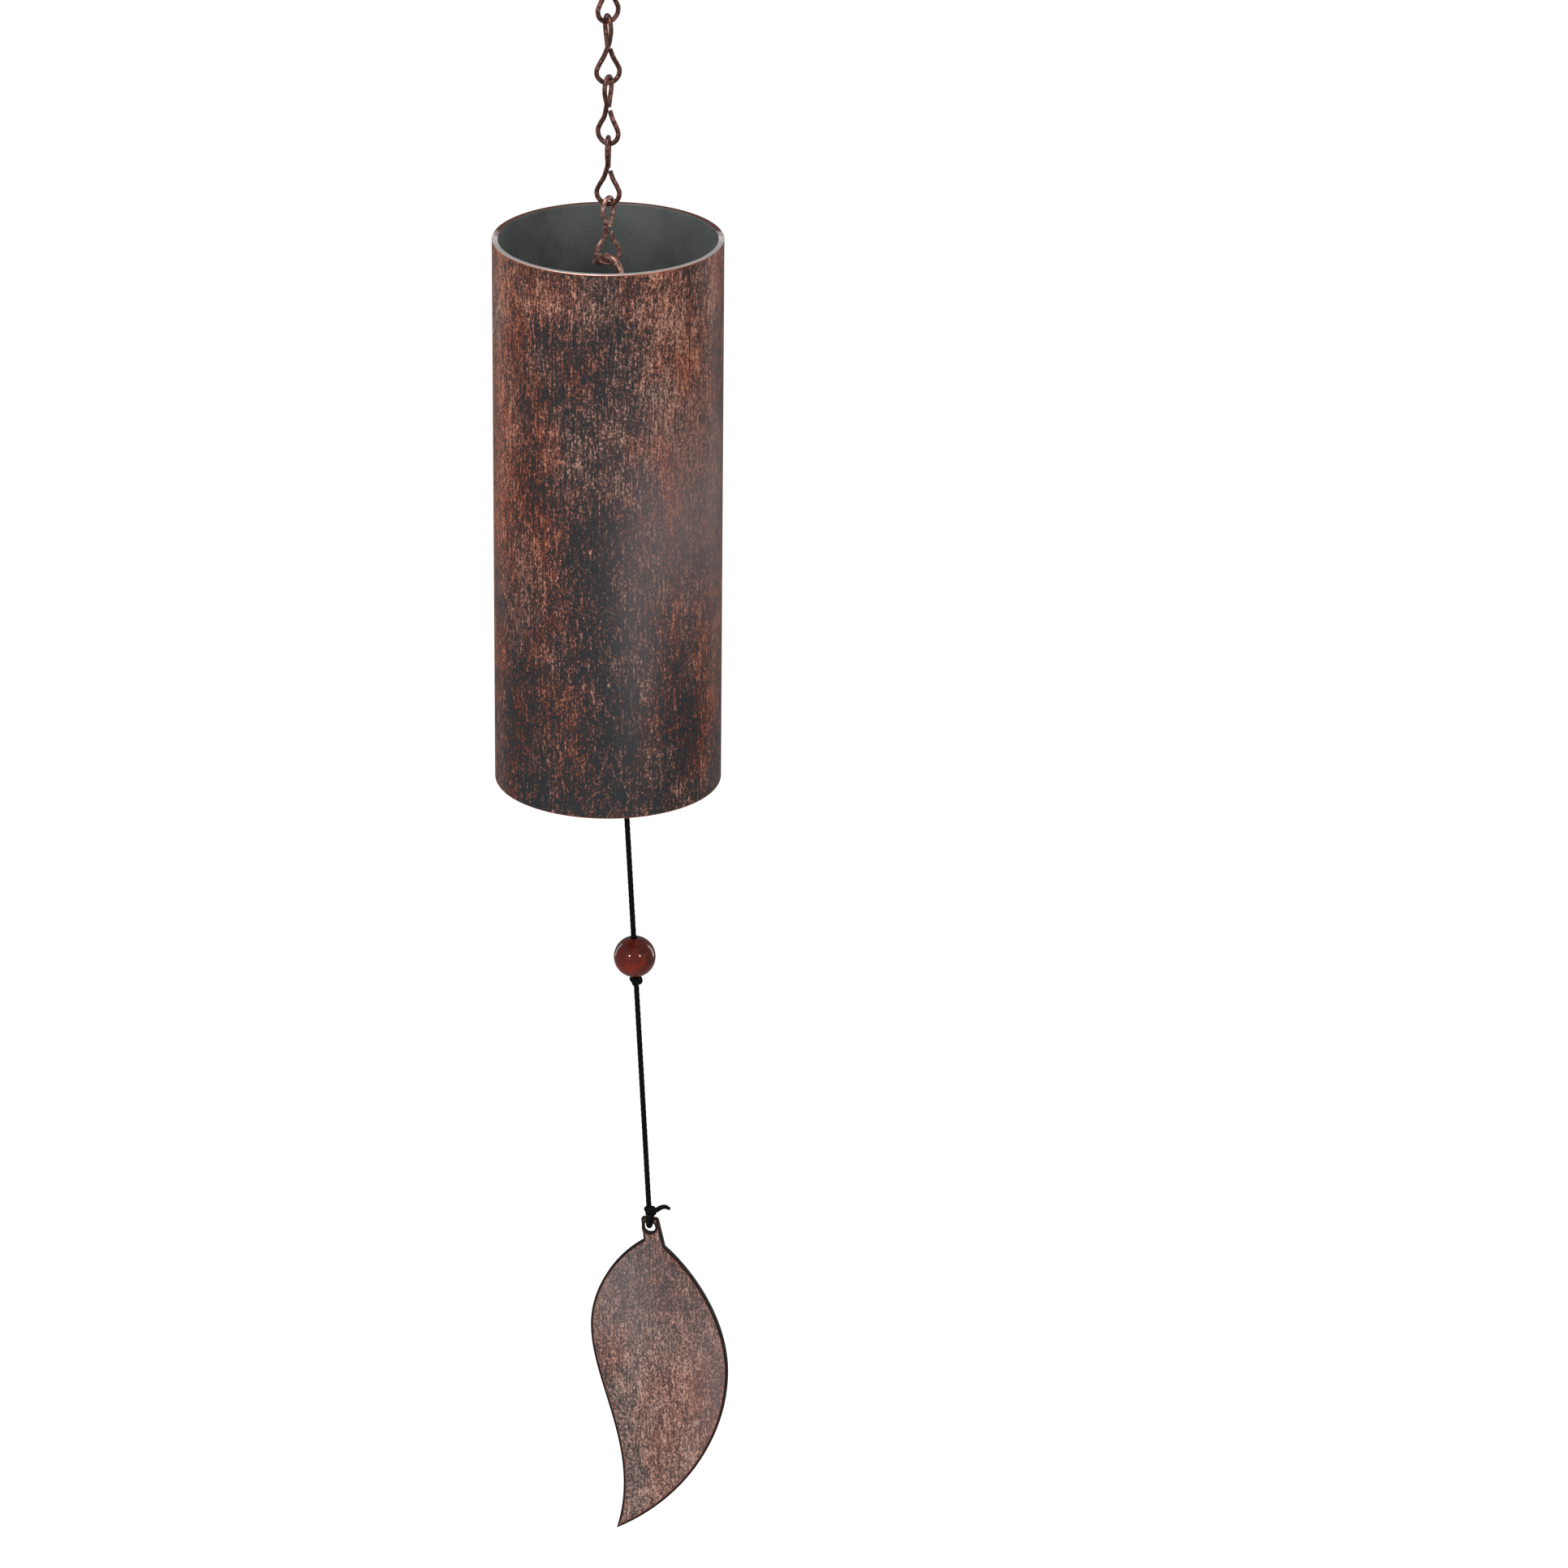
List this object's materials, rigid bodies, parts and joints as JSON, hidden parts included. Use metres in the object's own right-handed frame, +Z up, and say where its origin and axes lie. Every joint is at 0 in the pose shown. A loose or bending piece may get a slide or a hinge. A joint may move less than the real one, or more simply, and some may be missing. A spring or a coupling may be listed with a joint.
{
  "type": "wind chime",
  "caption": "Hanging wind chime: one large open tube on a chain, a wooden striker inside it, and a cord with a bead and a leaf-shaped metal wind catcher.",
  "frame": {"origin": "the hang point, at the inside top of the hanging hook's upper bow", "axes": "+Z up along the chain and the tube; -Y is the front, which the leaf faces; +X is to the right seen from the front"},
  "size_m": [0.0799, 0.0762, 0.6026],
  "materials": {
    "copper_wire": "dark antique copper",
    "antique_copper": "charcoal and copper, brushed",
    "inside_paint": "matte dark paint",
    "black_cord": "waxed, braided",
    "striker_wood": "stained, satin",
    "bead_glaze": "glossy red-brown",
    "leaf_copper": "grey-brown copper, satin"
  },
  "bodies": {
    "hanging_hook": {"hanging_hook": "copper_wire"},
    "chain_link_1": {"chain_link_1": "copper_wire"},
    "chain_link_2": {"chain_link_2": "copper_wire"},
    "chain_link_3": {"chain_link_3": "copper_wire"},
    "chain_link_4": {"chain_link_4": "copper_wire"},
    "chain_link_5": {"chain_link_5": "copper_wire"},
    "tube_hook": {"tube_hook": "copper_wire"},
    "tube": {"bell_tube": "antique_copper", "crossbar": "inside_paint"},
    "cord_hitch": {"cord_hitch": "black_cord"},
    "striker": {"striker_cord": "black_cord", "striker": "striker_wood", "striker_knot": "black_cord"},
    "pull_cord": {"pull_cord_upper": "black_cord"},
    "bead": {"bead": "bead_glaze"},
    "lower_cord": {"bead_knot": "black_cord", "pull_cord_lower": "black_cord"},
    "leaf_tie": {"leaf_tie": "black_cord"},
    "leaf": {"leaf": "leaf_copper"}
  },
  "joints": [
    {"name": "link_1_swing", "type": "hinge", "parent": "hanging_hook", "child": "chain_link_1", "pos_m": [0, 0, -0.0264], "axis": [-0.2079, 0.9781, 0], "range_deg": [-25, 25]},
    {"name": "link_2_swing", "type": "hinge", "parent": "chain_link_1", "child": "chain_link_2", "pos_m": [0, 0, -0.0489], "axis": [0.866, 0.5, 0], "range_deg": [-25, 25]},
    {"name": "link_3_swing", "type": "hinge", "parent": "chain_link_2", "child": "chain_link_3", "pos_m": [0, 0, -0.0676], "axis": [0.2924, 0.9563, 0], "range_deg": [-25, 25]},
    {"name": "link_4_swing", "type": "hinge", "parent": "chain_link_3", "child": "chain_link_4", "pos_m": [0, 0, -0.0901], "axis": [0.866, -0.5, 0], "range_deg": [-25, 25]},
    {"name": "link_5_swing", "type": "hinge", "parent": "chain_link_4", "child": "chain_link_5", "pos_m": [0, 0, -0.1088], "axis": [0.4695, 0.8829, 0], "range_deg": [-25, 25]},
    {"name": "tube_hook_swing", "type": "hinge", "parent": "chain_link_5", "child": "tube_hook", "pos_m": [0, 0, -0.1313], "axis": [0.9848, 0.1736, 0], "range_deg": [-20, 20]},
    {"name": "tube_swing", "type": "hinge", "parent": "tube_hook", "child": "tube", "pos_m": [0, 0, -0.1554], "axis": [0.6947, 0.7193, 0], "range_deg": [-20, 20]},
    {"name": "hitch_swing", "type": "hinge", "parent": "tube", "child": "cord_hitch", "pos_m": [-0.00278, -0.00288, -0.1554], "axis": [0.6947, 0.7193, 0], "range_deg": [-5.5, 5.5]},
    {"name": "striker_swing", "type": "hinge", "parent": "cord_hitch", "child": "striker", "pos_m": [-0.0025, -0.00288, -0.16064], "axis": [0.7193, -0.6947, 0], "range_deg": [-5.5, 5.5]},
    {"name": "pull_cord_swing", "type": "hinge", "parent": "striker", "child": "pull_cord", "pos_m": [0.00266, -0.00288, -0.25776], "axis": [0, 1, 0], "range_deg": [-15, 15]},
    {"name": "bead_slide", "type": "slide", "parent": "pull_cord", "child": "bead", "axis": [-0.053, 0, 0.9986], "range_m": [0, 0.105]},
    {"name": "lower_cord_swing", "type": "hinge", "parent": "pull_cord", "child": "lower_cord", "pos_m": [0.00955, -0.00288, -0.3875], "axis": [1, 0, 0], "range_deg": [-25, 25]},
    {"name": "leaf_twist", "type": "hinge", "parent": "lower_cord", "child": "leaf_tie", "pos_m": [0.01451, -0.00288, -0.48084], "axis": [-0.053, 0, 0.9986], "range_deg": [-90, 90]},
    {"name": "leaf_flap", "type": "hinge", "parent": "leaf_tie", "child": "leaf", "pos_m": [0.01451, -0.00288, -0.47804], "axis": [0.9659, -0.2588, 0], "range_deg": [-50, 50]}
  ]
}
